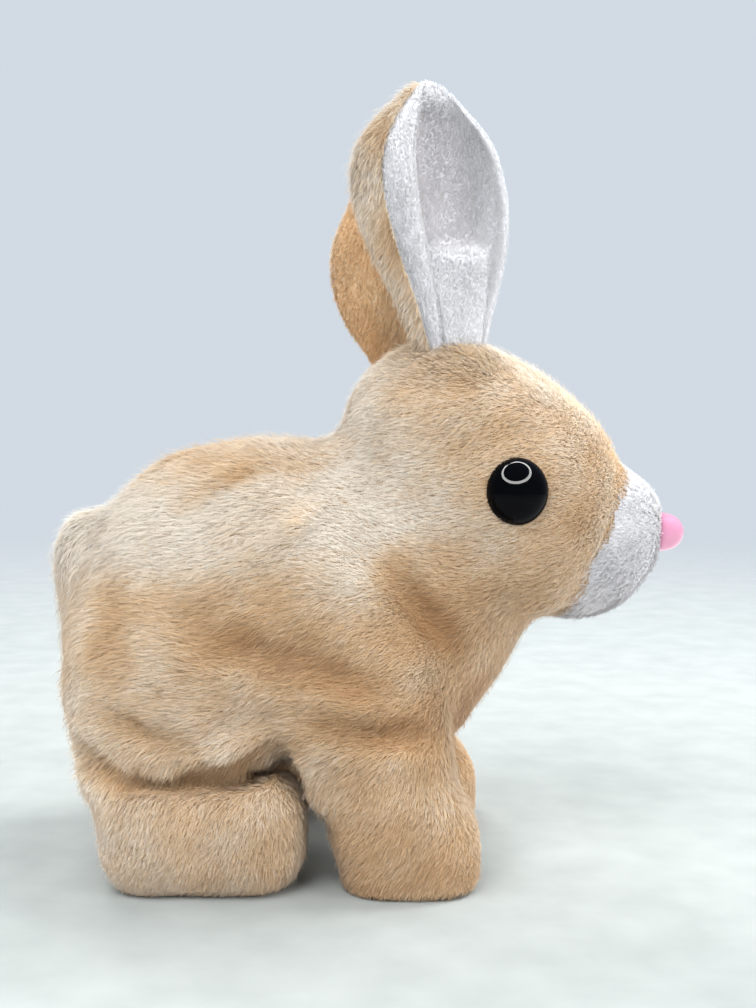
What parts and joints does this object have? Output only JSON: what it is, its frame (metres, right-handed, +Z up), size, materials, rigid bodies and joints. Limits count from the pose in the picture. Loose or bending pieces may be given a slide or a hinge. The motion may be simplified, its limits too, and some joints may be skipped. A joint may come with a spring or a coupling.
{
  "type": "interactive plush pet",
  "caption": "Battery-driven hopping plush rabbit: plastic figure with gear train, swinging legs, ears and nose under plush covers.",
  "frame": {"origin": "on the ground under the middle of the bounding box", "axes": "+X from tail to nose, +Y to the rabbit's left, +Z up"},
  "size_m": [0.1722, 0.1, 0.203],
  "materials": {
    "beige_plush": "long beige pile",
    "white_plush": "short white pile",
    "shell": "fine matt moulding",
    "gear": "smooth moulding",
    "leg": "smooth moulding",
    "steel": "plain",
    "black": "polished",
    "pink": "polished",
    "rubber": "matt",
    "board": "lacquered",
    "cell": "printed sleeve left plain"
  },
  "bodies": {
    "chassis": {"shell_left": "shell", "shell_right": "shell", "shell_screw_1": "steel", "shell_screw_2": "steel", "shell_screw_3": "steel", "gearbox_plate_left": "shell", "gearbox_plate_right": "shell", "motor": "steel", "speaker": "black", "circuit_board": "board", "battery_tray": "shell", "battery_left": "cell", "battery_right": "cell", "battery_spring_rear": "steel", "battery_spring_front": "steel", "muzzle_core": "shell", "eye_left": "black", "eye_right": "black", "body_plush": "beige_plush", "tail_plush": "beige_plush", "head_plush": "beige_plush", "muzzle_plush": "white_plush", "switch_body": "steel"},
    "crankshaft": {"crankshaft": "steel", "crank_gear": "gear", "crank_disc_left": "gear", "crank_disc_right": "gear", "head_cam": "gear"},
    "second_gear": {"second_gear": "gear"},
    "first_gear": {"first_gear": "gear"},
    "motor_rotor": {"motor_pinion": "gear"},
    "hind_legs": {"hind_axle": "steel", "hind_leg_left": "leg", "hind_leg_right": "leg", "hind_sock_left": "beige_plush", "hind_sock_right": "beige_plush", "hind_sole_left": "rubber", "hind_sole_right": "rubber"},
    "front_legs": {"front_axle": "steel", "front_leg_left": "leg", "front_leg_right": "leg", "front_sock_left": "beige_plush", "front_sock_right": "beige_plush", "front_sole_left": "rubber", "front_sole_right": "rubber"},
    "leg_links": {"leg_link_left": "leg", "leg_link_right": "leg"},
    "ears": {"ear_axle": "gear", "ear_paddle_left": "gear", "ear_paddle_right": "gear", "ear_back_left": "beige_plush", "ear_back_right": "beige_plush", "ear_lining_left": "white_plush", "ear_lining_right": "white_plush"},
    "nose_unit": {"nose_slider": "gear", "nose": "pink"},
    "head_rod": {"head_rod": "gear"},
    "battery_door": {"battery_door": "shell", "battery_door_screw": "steel"},
    "switch_knob": {"switch_knob": "black"}
  },
  "joints": [
    {"name": "crankshaft_spin", "type": "hinge", "parent": "chassis", "child": "crankshaft", "pos_m": [-0.048, 0, 0.073], "axis": [0, 1, 0], "continuous": true},
    {"name": "second_gear_spin", "type": "hinge", "parent": "chassis", "child": "second_gear", "pos_m": [-0.03495, 0, 0.07909], "axis": [0, 1, 0], "continuous": true},
    {"name": "first_gear_spin", "type": "hinge", "parent": "chassis", "child": "first_gear", "pos_m": [-0.02142, 0, 0.07416], "axis": [0, 1, 0], "continuous": true},
    {"name": "motor_spin", "type": "hinge", "parent": "chassis", "child": "motor_rotor", "pos_m": [-0.00789, 0, 0.07909], "axis": [0, 1, 0], "continuous": true},
    {"name": "hind_legs_swing", "type": "hinge", "parent": "chassis", "child": "hind_legs", "pos_m": [-0.048, 0, 0.058], "axis": [0, 1, 0], "range_deg": [-10, 10]},
    {"name": "front_legs_swing", "type": "hinge", "parent": "chassis", "child": "front_legs", "pos_m": [0.004, 0, 0.058], "axis": [0, 1, 0], "range_deg": [-10, 10]},
    {"name": "leg_links_tilt", "type": "hinge", "parent": "hind_legs", "child": "leg_links", "pos_m": [-0.048, 0, 0.046], "axis": [0, 1, 0], "range_deg": [-10, 10]},
    {"name": "ears_swing", "type": "hinge", "parent": "chassis", "child": "ears", "pos_m": [0.02, 0, 0.121], "axis": [0, 1, 0], "range_deg": [-10, 10]},
    {"name": "nose_slide", "type": "slide", "parent": "chassis", "child": "nose_unit", "axis": [1, 0, 0], "range_m": [-0.0018, 0.0018]},
    {"name": "head_rod_slide", "type": "slide", "parent": "chassis", "child": "head_rod", "axis": [1, 0, 0], "range_m": [-0.0018, 0.0018]},
    {"name": "battery_door_swing", "type": "hinge", "parent": "chassis", "child": "battery_door", "pos_m": [-0.059, 0, 0.031], "axis": [0, 1, 0], "range_deg": [0, 75]},
    {"name": "switch_slide", "type": "slide", "parent": "chassis", "child": "switch_knob", "axis": [0, 1, 0], "range_m": [0, 0.004]}
  ],
  "couplings": [
    {"joint": "second_gear_spin", "follows": "crankshaft_spin", "ratio": -3},
    {"joint": "first_gear_spin", "follows": "crankshaft_spin", "ratio": 9},
    {"joint": "motor_spin", "follows": "crankshaft_spin", "ratio": -27},
    {"joint": "front_legs_swing", "follows": "hind_legs_swing", "ratio": 1},
    {"joint": "leg_links_tilt", "follows": "hind_legs_swing", "ratio": -1},
    {"joint": "nose_slide", "follows": "ears_swing", "m_per_rad": -0.01},
    {"joint": "head_rod_slide", "follows": "ears_swing", "m_per_rad": -0.01}
  ]
}
